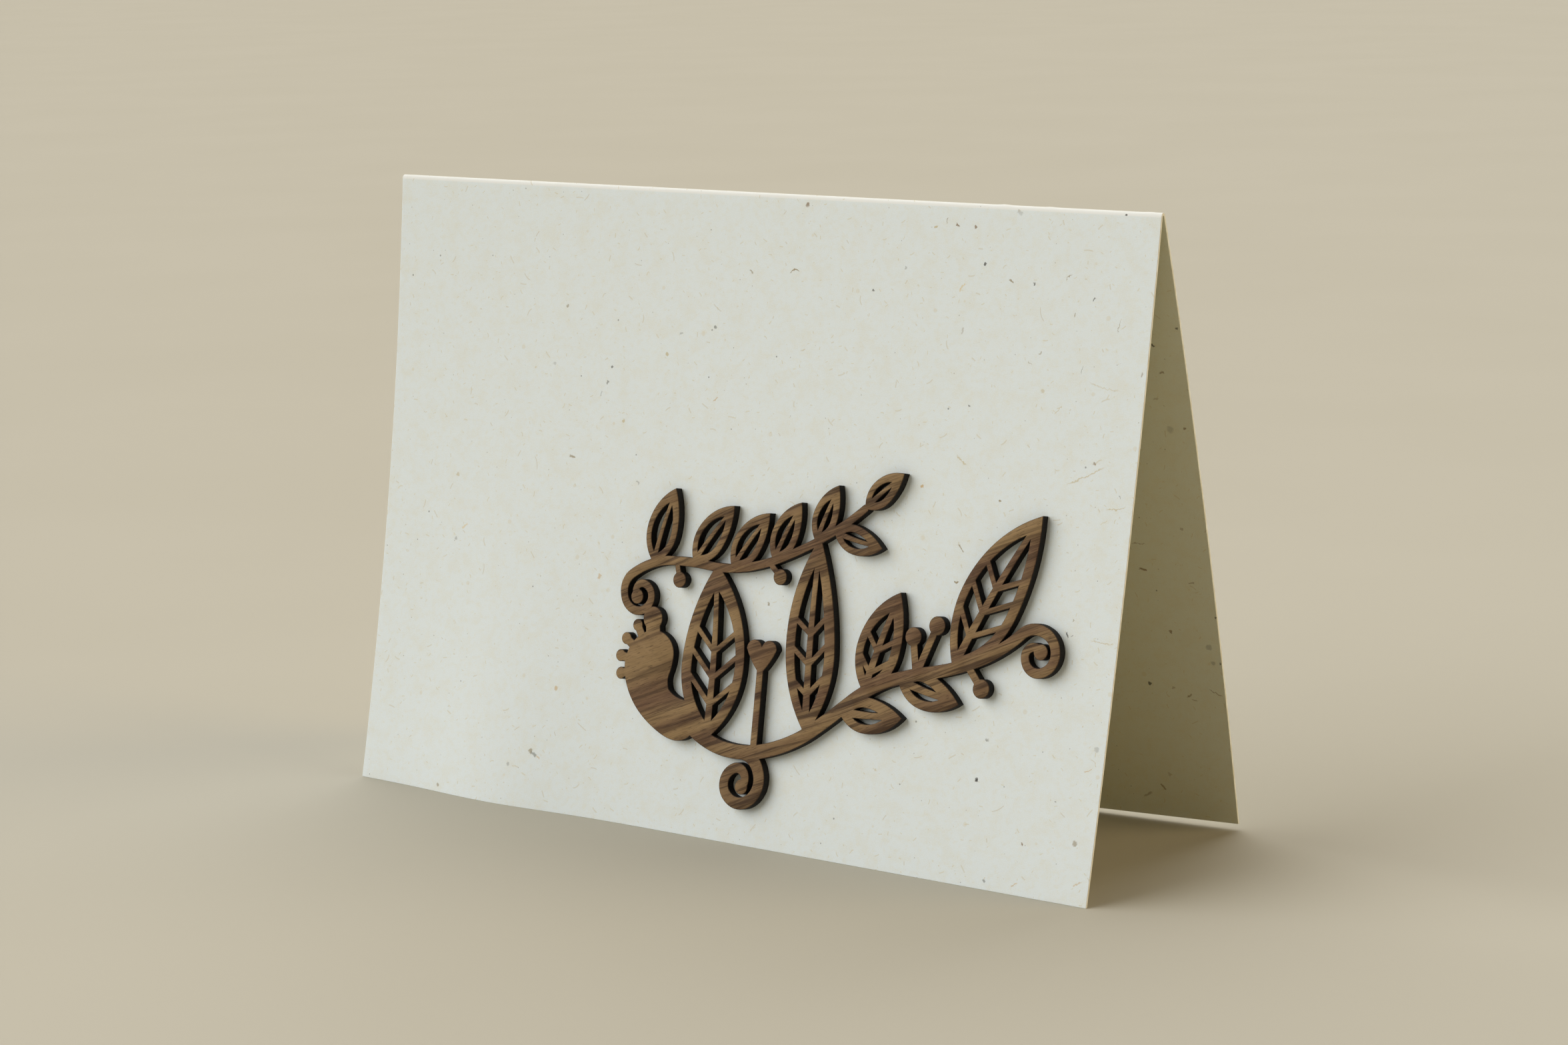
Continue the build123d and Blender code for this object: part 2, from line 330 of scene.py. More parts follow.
paper = {
    "base": colour(229, 236, 236), "cloud": colour(226, 225, 210), "pale": colour(237, 243, 245),
    # The pulp's clouds, mottle and grain: the noise's scale, detail and roughness, where on it the
    # tint starts and is full, its strength and the tint.
    "pulp": (
        (0.28, 4.0, 0.62, 0.42, 0.72, 0.45, "cloud"),
        (1.0, 4.0, 0.70, 0.46, 0.72, 0.50, "cloud"),
        (5.0, 3.0, 0.60, 0.30, 0.70, 0.40, "pale"),
    ),
    # The fold's whitened band, partly paler stretched fibres and partly a painted highlight: its tint, its
    # half width and the part of it that fades, in millimetres, and its strength.
    "fold": colour(247, 247, 243), "foldHalf": 1.1, "foldFade": 0.25, "foldStrength": 0.75,
    # the cut edge's colour, and the inside's tint, which is painted bounce light from the surroundings
    "edge": colour(208, 205, 189), "insideBounceLight": colour(245, 237, 214),
    # Roughness and specular level, and the relief's depth in millimetres and strength, of the sheet and
    # of its cut edge.
    "finish": (0.90, 0.25), "relief": (0.012, 0.6),
    "edgeFinish": (0.92, 0.20), "edgeRelief": (0.010, 0.8),
    # The tooth's fine and broad noise, each with its scale, detail and roughness, and the weight in the
    # relief of the broad one and of the fibres.
    "fineTooth": (7.0, 4.0, 0.65), "broadTooth": (1.3, 2.0, 0.5), "broadWeight": 0.8, "fibreWeight": 0.35,
    # The cut's layers: how often they repeat in a metre along each axis, the noise's scale, detail and
    # roughness, and where on it the pale tint starts and is full, and its strength.
    "edgeLayers": (600, 9000, 250), "edgePattern": (1.0, 3.0, 0.6), "edgeCoat": (0.35, 0.7, 1.0),
    # Each layer of fibres: cell size, half width, longest half length, bend, how many cells have one,
    # colour and strength, in millimetres on the sheet.
    "fibres": (
        (3.4, 0.075, 0.60, 0.70, 0.55, colour(212, 202, 168), 0.50),
        (5.6, 0.095, 1.05, 0.40, 0.50, colour(202, 188, 150), 0.38),
        (2.4, 0.060, 0.40, 0.80, 0.50, colour(216, 208, 178), 0.55),
        (10.0, 0.070, 1.90, 0.22, 0.30, colour(188, 168, 126), 0.36),
    ),
    # Each layer of specks: cell size, radius, how many cells have one, colour and strength.
    "specks": (
        (6.5, 0.13, 0.18, colour(96, 92, 88), 0.60),
        (2.8, 0.08, 0.20, colour(138, 130, 112), 0.45),
        (7.5, 0.34, 0.25, colour(216, 202, 164), 0.28),
    ),
    # How the loose marks are strewn: how far each layer's grid is shifted from the one before, with the
    # specks' layers numbered from firstSpecks, how far a mark strays in its cell, and the scale of the
    # noise that makes a speck's rim ragged.
    "fibreShift": 31.7, "speckShift": 17.3, "firstSpecks": 7, "straying": 0.8, "rimScale": 9.0,
    # How ragged the placed marks are: how far their outlines wander, and the noise's scale.
    "wander": 0.7, "wanderScale": 2.2,
    "markTints": {
        "dark": colour(66, 60, 54), "slate": colour(100, 99, 92), "brown": colour(134, 104, 66),
        "umber": colour(152, 134, 98), "orange": colour(206, 172, 112), "tan": colour(202, 187, 146),
        "grey": colour(164, 166, 162), "blush": colour(226, 208, 168),
    },
    # More fibres and specks where the photograph shows no marks to place: the back and the inside. They
    # are numbered from firstHidden, and are left out right of placedFrom on the back panel's inside.
    "firstHidden": 20, "placedFrom": 45,
    "hiddenFibres": (
        (11.0, 0.11, 0.75, 0.30, 0.60, colour(112, 92, 66), 0.75),
        (19.0, 0.09, 2.60, 0.06, 0.60, colour(204, 176, 122), 0.65),
    ),
    "hiddenSpecks": (
        (10.5, 0.24, 0.45, colour(72, 66, 58), 0.80),
        (13.0, 0.30, 0.45, colour(160, 146, 118), 0.65),
    ),
    # Marks at their own places on the front and on the inside of the back panel. Each starts with how
    # far it is right of the middle and down from the fold. A dot goes on with its radius, and a stroke
    # with its half length, half width, turn in degrees and bend. Then come the tint and its strength.
    "frontMarks": {
        "dots": (
            (44.1, 9.6, 0.24, "dark", 0.80), (53.1, 12.2, 0.20, "dark", 0.70),
            (68.0, 0.9, 0.19, "dark", 0.85), (41.8, 3.9, 0.24, "brown", 0.80),
            (10.3, 1.8, 0.28, "brown", 0.75), (23.9, 14.8, 0.17, "dark", 0.70),
            (29.7, 10.9, 0.20, "grey", 0.60), (-36.8, 20.8, 0.26, "umber", 0.60),
            (-38.8, 30.6, 0.30, "grey", 0.40), (-26.7, 30.3, 0.24, "slate", 0.80),
            (-6.1, 22.5, 0.26, "slate", 0.60), (-15.5, 27.6, 0.28, "tan", 0.75),
            (-23.5, 39.1, 0.26, "tan", 0.75), (-40.5, 98.3, 0.34, "grey", 0.60),
            (-32.4, 84.7, 0.34, "orange", 0.65), (-55.8, 104.0, 0.26, "umber", 0.65),
            (3.7, 80.4, 0.22, "grey", 0.75), (9.2, 66.2, 0.24, "umber", 0.70),
            (43.4, 31.7, 0.15, "dark", 0.60), (56.3, 28.4, 0.30, "tan", 0.50),
            (66.6, 38.7, 0.20, "brown", 0.60), (36.2, 44.8, 0.24, "orange", 0.80),
            (50.6, 45.8, 0.20, "umber", 0.85), (52.0, 88.8, 0.27, "dark", 0.92),
            (70.7, 95.9, 0.38, "umber", 0.60), (72.5, 81.5, 0.40, "grey", 0.45),
            (55.5, 103.8, 0.24, "slate", 0.60), (65.9, 62.6, 0.14, "umber", 0.60),
            (66.4, 90.2, 0.16, "grey", 0.80), (-57.7, 61.9, 0.24, "grey", 0.60),
            (-58.4, 51.0, 0.30, "tan", 0.60), (39.8, 68.7, 0.18, "dark", 0.60),
        ),
        "strokes": (
            (8.7, 12.3, 1.05, 0.10, 6, -0.50, "umber", 0.85),
            (38.6, 3.8, 0.42, 0.14, -25, 0.0, "brown", 0.80),
            (36.6, 3.2, 0.50, 0.07, 85, 0.2, "umber", 0.60),
            (34.6, 4.3, 0.45, 0.12, 20, 0.3, "tan", 0.80),
            (49.0, 11.9, 0.60, 0.11, -38, -0.5, "umber", 0.75),
            (40.2, 13.3, 0.90, 0.12, 52, -0.3, "blush", 0.80),
            (59.0, 10.7, 0.75, 0.06, 45, -0.5, "umber", 0.65),
            (63.8, 13.9, 0.36, 0.12, 55, 0.0, "slate", 0.80),
            (60.7, 16.4, 0.34, 0.09, 75, 0.0, "umber", 0.70),
            (68.5, 17.7, 1.15, 0.06, 84, 0.05, "umber", 0.60),
            (49.5, 1.3, 0.70, 0.26, -32, 0.0, "grey", 0.40),
            (-27.4, 33.0, 0.34, 0.15, 62, 0.0, "slate", 0.65),
            (-28.6, 35.0, 0.60, 0.12, 70, 0.0, "grey", 0.50),
            (-12.9, 23.9, 0.50, 0.16, 22, 0.0, "grey", 0.55),
            (-5.1, 34.2, 0.65, 0.10, 48, 0.0, "orange", 0.60),
            (-33.6, 45.9, 0.75, 0.17, -12, 0.0, "umber", 0.70),
            (-19.5, 49.0, 0.50, 0.15, -50, 0.0, "grey", 0.55),
            (0.3, 13.1, 0.50, 0.14, -28, 0.0, "umber", 0.65),
            (-36.1, 95.6, 0.50, 0.34, -40, -0.2, "umber", 0.65),
            (-35.4, 96.1, 0.75, 0.20, -22, 0.2, "slate", 0.55),
            (-34.5, 96.5, 0.55, 0.11, -32, 0.0, "orange", 0.60),
            (-55.9, 59.6, 0.85, 0.16, 38, 0.0, "blush", 0.70),
            (-25.8, 65.3, 0.60, 0.28, 70, 0.0, "orange", 0.55),
            (62.8, 24.7, 0.75, 0.06, 74, -0.15, "slate", 0.50),
            (73.2, 24.8, 0.50, 0.10, 78, 0.3, "brown", 0.50),
            (66.9, 27.2, 3.00, 0.07, -9, 0.03, "tan", 0.42),
            (55.3, 22.6, 0.42, 0.10, 40, 0.0, "umber", 0.55),
            (53.6, 24.3, 0.60, 0.07, -30, 0.3, "umber", 0.45),
            (59.4, 31.1, 0.95, 0.07, 50, 0.1, "tan", 0.60),
            (42.9, 40.2, 1.40, 0.10, -36, 0.1, "tan", 0.70),
            (65.3, 40.8, 3.90, 0.09, 27, 0.012, "tan", 0.62),
            (71.5, 43.4, 0.34, 0.08, -70, 0.0, "slate", 0.50),
            (71.1, 45.3, 1.85, 0.08, 8, 0.10, "tan", 0.75),
            (44.4, 53.7, 0.90, 0.10, -46, 0.15, "umber", 0.75),
            (44.2, 59.0, 0.46, 0.14, -4, 0.0, "umber", 0.85),
            (65.1, 64.9, 0.55, 0.14, -62, 0.0, "dark", 0.75),
            (65.9, 65.1, 0.30, 0.06, 50, 0.0, "dark", 0.60),
            (71.3, 65.5, 2.20, 0.07, -2, 0.03, "tan", 0.60),
            (53.1, 82.5, 0.40, 0.12, 5, 0.0, "grey", 0.85),
            (61.5, 97.3, 0.42, 0.11, -55, 0.0, "brown", 0.85),
            (71.5, 84.8, 0.90, 0.08, 22, 0.25, "orange", 0.70),
            (72.3, 83.4, 0.85, 0.06, -42, -0.3, "tan", 0.75),
            (61.0, 103.6, 0.80, 0.08, 36, 0.0, "orange", 0.55),
            (72.0, 101.8, 1.00, 0.08, 32, 0.0, "orange", 0.50),
            (41.0, 20.1, 0.60, 0.14, 75, 0.0, "umber", 0.35),
        ),
    },
    "insideMarks": {
        "dots": (
            (60.8, 81.5, 0.28, "dark", 0.80), (65.6, 71.9, 0.26, "brown", 0.70),
            (69.7, 53.6, 0.22, "brown", 0.45), (72.0, 74.0, 0.50, "slate", 0.35),
            (72.5, 76.8, 0.35, "slate", 0.35), (73.7, 76.8, 0.18, "dark", 0.70),
            (73.8, 68.7, 0.18, "dark", 0.70), (72.4, 36.2, 0.22, "brown", 0.70),
            (69.9, 36.5, 0.55, "slate", 0.25), (65.0, 81.8, 0.24, "brown", 0.45),
            (62.6, 97.5, 0.30, "brown", 0.30), (73.4, 19.3, 0.20, "dark", 0.70),
        ),
        "strokes": (
            (68.8, 22.4, 0.40, 0.16, 60, 0.0, "dark", 0.85),
            (69.7, 26.9, 0.50, 0.16, -6, 0.2, "brown", 0.60),
            (68.1, 31.5, 0.60, 0.14, -10, 0.0, "umber", 0.35),
            (61.9, 61.3, 0.80, 0.17, 12, 0.0, "brown", 0.80),
            (70.3, 62.9, 0.60, 0.10, -8, 0.2, "brown", 0.50),
            (61.8, 56.8, 1.50, 0.08, -2, 0.0, "brown", 0.45),
            (72.3, 82.0, 1.35, 0.10, 22, 0.0, "umber", 0.65),
            (67.7, 83.0, 0.60, 0.15, -38, 0.0, "umber", 0.70),
            (68.5, 83.7, 0.60, 0.10, 8, 0.0, "umber", 0.50),
            (61.3, 99.9, 0.75, 0.17, 44, 0.0, "umber", 0.75),
            (58.4, 101.6, 1.00, 0.13, -32, 0.0, "brown", 0.45),
        ),
    },
}


def strokeMask(tree, x, y, halfLength, halfWidth, bend):
    # 1 on a short bent line along x and 0 around it: y has to stay by bend times x squared.
    bent = calc(tree, "SUBTRACT", y, product(tree, x, x, bend))
    away = calc(tree, "DIVIDE", calc(tree, "ABSOLUTE", bent), halfWidth)
    beyond = calc(tree, "DIVIDE", calc(tree, "ABSOLUTE", x), halfLength)
    return product(tree, ramp(tree, away, 0.5, 1.5, 1, 0), ramp(tree, beyond, 0.7, 1.0, 1, 0))


def scattered(tree, place, cell, offset):
    # A random point in each cell of a grid: the way from it to the place, and its random numbers.
    shifted = node(tree, "ShaderNodeVectorMath", {0: place, 1: (offset, 2 * offset, 0)}, operation="ADD")
    cells = node(tree, "ShaderNodeTexVoronoi", {
        "Vector": shifted.outputs[0], "Scale": 1 / cell, "Randomness": paper["straying"],
    }, voronoi_dimensions="2D", feature="F1")
    away = node(tree, "ShaderNodeVectorMath", {
        0: shifted.outputs[0], 1: cells.outputs["Position"],
    }, operation="SUBTRACT")
    dice = node(tree, "ShaderNodeSeparateColor", {"Color": cells.outputs["Color"]})
    return away.outputs[0], [dice.outputs[channel] for channel in ("Red", "Green", "Blue")]


def fibreLayer(tree, place, number, cell, halfWidth, halfLength, bend, filled):
    # Where a layer of loose fibres is: each has its own turn, bend and length, and only the filled
    # share of the cells has one.
    offset = paper["fibreShift"] * (number + 1)
    away, (turnDice, bendDice, lengthDice) = scattered(tree, place, cell, offset)
    turned = node(tree, "ShaderNodeVectorRotate", {
        "Vector": away, "Angle": product(tree, turnDice, 2 * math.pi),
    }, rotation_type="Z_AXIS")
    x, y = node(tree, "ShaderNodeSeparateXYZ", {0: turned.outputs[0]}).outputs[:2]
    ownBend = product(tree, calc(tree, "SUBTRACT", bendDice, 0.4), 2 * bend)
    ownLength = ramp(tree, lengthDice, 1 - filled, 1.15, 0.01, halfLength)
    return strokeMask(tree, x, y, ownLength, halfWidth, ownBend)


def speckLayer(tree, place, number, cell, radius, filled):
    # Where a layer of small specks is: each has its own size, from 0.6 to 1.4 of the radius, and a
    # ragged rim, and only the filled share of the cells has one.
    offset = paper["speckShift"] * (number + paper["firstSpecks"])
    away, (sizeDice, _, filledDice) = scattered(tree, place, cell, offset)
    distance = node(tree, "ShaderNodeVectorMath", {0: away}, operation="LENGTH").outputs["Value"]
    ragged = calc(tree, "ADD", distance, product(tree, noise(tree, place, paper["rimScale"]), 0.5 * radius))
    ownRadius = product(tree, ramp(tree, filledDice, 1 - filled, 1 - 0.9 * filled, 0.01, 1),
                        ramp(tree, sizeDice, 0, 1, 0.6 * radius, 1.4 * radius))
    return ramp(tree, calc(tree, "DIVIDE", ragged, ownRadius), 0.8, 1.3, 1, 0)


def dotMask(tree, across, up, right, down, radius, strength):
    # A dot at its own place, by its strength: the square of the distance from its middle is set
    # against the square of its radius.
    apart = calc(tree, "SUBTRACT", across, right)
    above = calc(tree, "ADD", up, down)
    square = calc(tree, "MULTIPLY_ADD", apart, apart, product(tree, above, above))
    return ramp(tree, square, 0.3 * radius ** 2, 1.8 * radius ** 2, strength, 0)


def strokeAt(tree, across, up, right, down, halfLength, halfWidth, turn, bend, strength):
    # A stroke at its own place, by its strength: the place is turned about the stroke's middle, and
    # what is left of its height over the bend is the way off the line.
    cosine, sine = math.cos(math.radians(turn)), math.sin(math.radians(turn))
    x = calc(tree, "MULTIPLY_ADD", across, cosine,
             calc(tree, "MULTIPLY_ADD", up, sine, down * sine - right * cosine))
    y = calc(tree, "MULTIPLY_ADD", across, -sine,
             calc(tree, "MULTIPLY_ADD", up, cosine, down * cosine + right * sine))
    bent = calc(tree, "MULTIPLY_ADD", product(tree, x, x), -bend, y)
    onLine = ramp(tree, calc(tree, "ABSOLUTE", bent), 0.5 * halfWidth, 1.5 * halfWidth, strength, 0)
    within = ramp(tree, calc(tree, "ABSOLUTE", x), 0.6 * halfLength, halfLength, 1, 0)
    return product(tree, onLine, within)


def looseMarks(tree, place, tone):
    # More fibres and specks, but none at the right end of the back panel's inside, where the
    # photograph shows the marks and they are placed one by one.
    right, up = node(tree, "ShaderNodeSeparateXYZ", {0: place}).outputs[:2]
    placed = product(tree, calc(tree, "GREATER_THAN", up, 0.0),
                     calc(tree, "GREATER_THAN", right, card["insideShift"] + paper["placedFrom"]))
    loose = calc(tree, "SUBTRACT", 1.0, placed)
    for number, (*shape, tint, strength) in enumerate(paper["hiddenFibres"], paper["firstHidden"]):
        mask = fibreLayer(tree, place, number, *shape)
        tone = blendColours(tree, product(tree, loose, strength, mask), tone, tint)
    for number, (*shape, tint, strength) in enumerate(paper["hiddenSpecks"], paper["firstHidden"]):
        mask = speckLayer(tree, place, number, *shape)
        tone = blendColours(tree, product(tree, loose, strength, mask), tone, tint)
    return tone


def placedMarks(tree, place, tone, isFront):
    # The marks at their own places have slightly ragged outlines, from a noise that shifts the place.
    # On the flat sheet the front lies below the fold, and the back panel's inside above it.
    wander = paper["wander"]
    uneven = node(tree, "ShaderNodeTexNoise", {"Vector": place, "Scale": paper["wanderScale"]})
    shift = node(tree, "ShaderNodeVectorMath", {
        0: uneven.outputs["Color"], 1: (wander, wander, 0), 2: (-wander / 2, -wander / 2, 0),
    }, operation="MULTIPLY_ADD").outputs[0]
    shifted = node(tree, "ShaderNodeVectorMath", {0: place, 1: shift}).outputs[0]
    across, up = node(tree, "ShaderNodeSeparateXYZ", {0: shifted}).outputs[:2]
    marks = paper["frontMarks"] if isFront else paper["insideMarks"]
    aside, side = (0, 1) if isFront else (card["insideShift"], -1)
    for kind, mark in (("dots", dotMask), ("strokes", strokeAt)):
        for right, down, *shape, tint, strength in marks[kind]:
            mask = mark(tree, across, up, right + aside, side * down, *shape, strength)
            tone = blendColours(tree, mask, tone, paper["markTints"][tint])
    return tone


def makePaper(name, isFront):
    # The front has its own placed marks, and the rest of the sheet more loose ones.
    material, tree, shader = newMaterial(name, *paper["finish"])
    place = node(tree, "ShaderNodeUVMap", uv_map="flatSheet").outputs["UV"]
    right, up = node(tree, "ShaderNodeSeparateXYZ", {0: place}).outputs[:2]

    # Clouds of warmer pulp, from a few millimetres down to the paper's own grain.
    tone = paper["base"]
    for scale, detail, roughness, low, high, strength, tint in paper["pulp"]:
        pattern = noise(tree, place, scale, detail, roughness)
        tone = coat(tree, tone, pattern, low, high, strength, paper[tint])

    # The fold's stretched surface is whiter, and the band also carries a painted highlight where the fold's
    # round catches the light.
    fromFold = calc(tree, "ABSOLUTE", up)
    tone = coat(tree, tone, fromFold, paper["foldHalf"], paper["foldHalf"] - paper["foldFade"],
                paper["foldStrength"], paper["fold"])

    marked = 0.0
    for number, (*shape, tint, strength) in enumerate(paper["fibres"]):
        mask = fibreLayer(tree, place, number, *shape)
        tone = blendColours(tree, product(tree, mask, strength), tone, tint)
        marked = calc(tree, "MAXIMUM", marked, mask)
    for number, (*shape, tint, strength) in enumerate(paper["specks"]):
        mask = speckLayer(tree, place, number, *shape)
        tone = blendColours(tree, product(tree, mask, strength), tone, tint)
    if not isFront:
        # Painted bounce light: the inside is tinted a little creamier, as the light that the surroundings
        # throw in makes it look.
        inside = calc(tree, "GREATER_THAN", right, card["insideShift"] / 2)
        tone = blendColours(tree, inside, tone, paper["insideBounceLight"], "MULTIPLY")
        tone = looseMarks(tree, place, tone)
    tone = placedMarks(tree, place, tone, isFront)
    tree.links.new(tone, shader.inputs["Base Color"])

    # The tooth of uncoated paper, and fibres that stand up slightly from it.
    tooth = calc(tree, "ADD", noise(tree, place, *paper["fineTooth"]),
                 product(tree, noise(tree, place, *paper["broadTooth"]), paper["broadWeight"]))
    height = calc(tree, "ADD", tooth, product(tree, marked, paper["fibreWeight"]))
    addBump(tree, shader, height, *paper["relief"])
    return material


def makeCutEdge():
    # The guillotined edge shows the sheet's warmer core, in thin layers along the cut.
    material, tree, shader = newMaterial("cutEdge", *paper["edgeFinish"])
    place = node(tree, "ShaderNodeTexCoord").outputs["Object"]
    stretched = node(tree, "ShaderNodeMapping", {"Vector": place, "Scale": paper["edgeLayers"]}).outputs[0]
    layers = noise(tree, stretched, *paper["edgePattern"])
    tone = coat(tree, paper["edge"], layers, *paper["edgeCoat"], paper["pale"])
    tree.links.new(tone, shader.inputs["Base Color"])
    addBump(tree, shader, layers, *paper["edgeRelief"])
    return material


cardSheet = buildCard([makePaper("cardFront", True), makePaper("cardInside", False), makeCutEdge()])
print("card folded:", len(cardSheet.data.polygons), "faces")


# The ornament: the solid's own outline, with its laser-cut edges slightly rounded

wood = {
    "lean": (card["leanLeft"] + card["leanRight"]) / 2,
    "facing": 0.7,  # the face's triangles have more of their normal than this along the way out
    # the rounded rim, in millimetres: how far each ring lies in from the outline and below the face
    "rim": ((0.0, 0.09), (0.03, 0.03), (0.09, 0.0)),
    "smallestCosine": 1e-6, "longestMitre": 1.8,  # limits at the outline's sharpest corners
    "sharpFrom": 40, "grainTurn": 22.0,  # in degrees
    "light": colour(152, 125, 87), "base": colour(117, 91, 63), "dark": colour(62, 43, 28),
    "russet": colour(106, 78, 58), "pore": colour(52, 36, 28),
    "scorched": colour(44, 29, 21), "charred": colour(12, 9, 7), "scorchedShare": 0.72,
    # Noise patterns: how often each repeats in a millimetre along the grain, across it and through the
    # board, its detail and its roughness. The grain wanders off a straight line by the first one.
    "wander": 4.0, "wanderPattern": ((0.02, 0.10, 0.1), 2.0, 0.5),
    "patterns": {
        "figure": ((0.012, 0.22, 0.1), 3.0, 0.55), "redder": ((0.015, 0.35, 0.1), 2.0, 0.5),
        "streaks": ((0.028, 0.80, 0.6), 4.0, 0.6), "lines": ((0.05, 2.4, 2.0), 3.0, 0.6),
        "fibres": ((0.25, 7.0, 7.0), 3.0, 0.6), "pores": ((0.75, 8.0, 8.0), 1.0, 0.5),
    },
    # Coats of tint over the base: the pattern, where on it the tint starts and is full, its strength
    # and the tint. The bands lie between the broad coats and the fine ones.
    "broadCoats": (
        ("figure", 0.36, 0.62, 0.80, "light"), ("redder", 0.48, 0.66, 0.60, "russet"),
        ("streaks", 0.50, 0.66, 0.85, "dark"), ("streaks", 0.44, 0.30, 0.60, "light"),
        ("lines", 0.50, 0.66, 0.70, "dark"),
    ),
    "fineCoats": (
        ("fibres", 0.48, 0.70, 0.35, "dark"), ("fibres", 0.48, 0.28, 0.30, "light"),
        ("pores", 0.64, 0.74, 0.60, "pore"),
    ),
    # Bands across the baby's foot, in millimetres: place across the grain, half width, strength and
    # tint. Their edges are broken by one more pattern.
    "bands": (
        (27.0, 2.60, 0.80, "light"), (20.4, 3.60, 0.60, "russet"), (13.0, 0.90, 0.50, "light"),
        (29.7, 0.40, 0.45, "dark"), (24.3, 0.35, 0.50, "dark"), (22.4, 0.50, 0.35, "dark"),
        (21.0, 0.42, 0.60, "dark"), (18.1, 0.35, 0.45, "dark"), (14.3, 0.50, 0.40, "dark"),
    ),
    "brokenBy": 1.2, "brokenPattern": ((0.12, 1.1, 0.5), 2.0, 0.5),
    # The charred walls: lines through the board where the beam went by, and soot, each with where its
    # coat starts and is full, and its strength.
    "beamPattern": ((6.0, 6.0, 0.35), 3.0, 0.6), "beamCoat": (0.45, 0.8, 0.5),
    "sootPattern": ((0.7, 0.7, 0.7), 3.0, 0.5), "sootCoat": (0.55, 0.8, 0.4),
    "openPores": (0.62, 0.74),  # where on their pattern the pores start and are deepest
    "fibreHeight": 0.5,  # how high the fibres stand, against the pores' depth
    # Roughness and specular level, and the relief's depth in millimetres and strength.
    "faceFinish": (0.72, 0.20), "faceRelief": (0.02, 0.8),
    "rimFinish": (0.70, 0.25), "rimRelief": (0.01, 0.6),
    "wallFinish": (0.75, 0.30), "wallRelief": (0.04, 0.9),
}
woodOut = Vector((0, -math.cos(math.radians(wood["lean"])), math.sin(math.radians(wood["lean"]))))


def mergedNode(name, grid=0.001 * mm):
    # A CAD node's corners and triangles as arrays, with the corners at one place of a fine grid made
    # one, and without the triangles that this leaves with no area.
    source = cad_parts[name].data
    corners = np.empty(len(source.vertices) * 3)
    source.vertices.foreach_get("co", corners)
    triangles = np.empty(len(source.loops), np.int64)
    source.loops.foreach_get("vertex_index", triangles)
    keys = np.round(corners.reshape(-1, 3) / grid).astype(np.int64)
    _, first, merged = np.unique(keys, axis=0, return_index=True, return_inverse=True)
    triangles = merged.reshape(-1)[triangles].reshape(-1, 3)
    whole = (triangles != np.roll(triangles, 1, axis=1)).all(axis=1)
    return corners.reshape(-1, 3)[first], triangles[whole]


def buildOrnament(materials):
    # The face's rim steps in and down in rings: each ring is the outline moved along the mean of the
    # directions square to its two edges, divided by the cosine of half their turn.
    corners, triangles = mergedNode("walnut_ornament")
    out = np.array(woodOut)
    sides = corners[triangles]
    normals = np.cross(sides[:, 1] - sides[:, 0], sides[:, 2] - sides[:, 0])
    smallest = 1e-18  # keeps a sliver's normal from being divided by nothing
    normals /= np.maximum(np.linalg.norm(normals, axis=1, keepdims=True), smallest)
    onFace = normals @ out > wood["facing"]

    # Edges that only one triangle of the face has, in that triangle's direction, are the outline.
    edges = np.stack([triangles[onFace], np.roll(triangles[onFace], -1, axis=1)], axis=-1).reshape(-1, 2)
    keys = edges[:, 0] * len(corners) + edges[:, 1]
    outline = edges[~np.isin(keys, edges[:, 1] * len(corners) + edges[:, 0])]
    direction = corners[outline[:, 1]] - corners[outline[:, 0]]
    inwards = np.cross(out, direction)
    inwards /= np.linalg.norm(inwards, axis=1, keepdims=True)
    total = np.zeros_like(corners)
    np.add.at(total, outline[:, 0], inwards)
    np.add.at(total, outline[:, 1], inwards)
    rim = np.unique(outline)
    cosine = np.maximum(np.linalg.norm(total[rim], axis=1, keepdims=True) / 2, wood["smallestCosine"])
    mitre = total[rim] / 2 / cosine * np.minimum(1 / cosine, wood["longestMitre"])

    # The outline's own corners drop to the lowest ring, and the face hangs on the innermost one.
    lowest = corners.copy()
    lowest[rim] -= out * wood["rim"][0][1] * mm
    rings = [rim]
    places = [lowest]
    count = len(corners)
    for inset, drop in wood["rim"][1:]:
        places.append(corners[rim] + mitre * inset * mm - out * drop * mm)
        rings.append(count + np.arange(len(rim)))
        count += len(rim)
    renumber = [np.arange(len(corners)) for _ in rings]
    for ring, numbers in zip(rings, renumber):
        numbers[rim] = ring
    faces = [np.where(onFace[:, None], renumber[-1][triangles], triangles)]
    kinds = [np.where(onFace, 0, 2)]
    for lower, upper in zip(renumber, renumber[1:]):
        start, end = outline.T
        faces.append(np.stack([lower[start], lower[end], upper[end]], axis=-1))
        faces.append(np.stack([lower[start], upper[end], upper[start]], axis=-1))
        kinds.append(np.full(2 * len(outline), 1))
    piece = makeMesh("walnutOrnament", np.concatenate(places), np.concatenate(faces), materials,
                     np.concatenate(kinds), wood["sharpFrom"])
    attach(piece, "root")
    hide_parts("walnut_ornament")
    return piece


def grainPlace(tree):
    # Places in the wood in millimetres: x along the grain, y across it and z through the board.
    own = node(tree, "ShaderNodeTexCoord").outputs["Object"]
    turned = node(tree, "ShaderNodeMapping", {
        "Vector": own, "Scale": (1 / mm, 1 / mm, 1 / mm),
        "Rotation": (math.radians(wood["lean"] - 90), 0, math.radians(-wood["grainTurn"])),
    })
    return turned.outputs[0]


def grainPattern(tree, place, perMillimetre, detail, roughness):
    # A noise on a place whose axes are scaled one by one, which draws it out along the grain.
    squeezed = node(tree, "ShaderNodeVectorMath", {0: place, 1: perMillimetre}, operation="MULTIPLY")
    return noise(tree, squeezed.outputs[0], 1.0, detail, roughness)


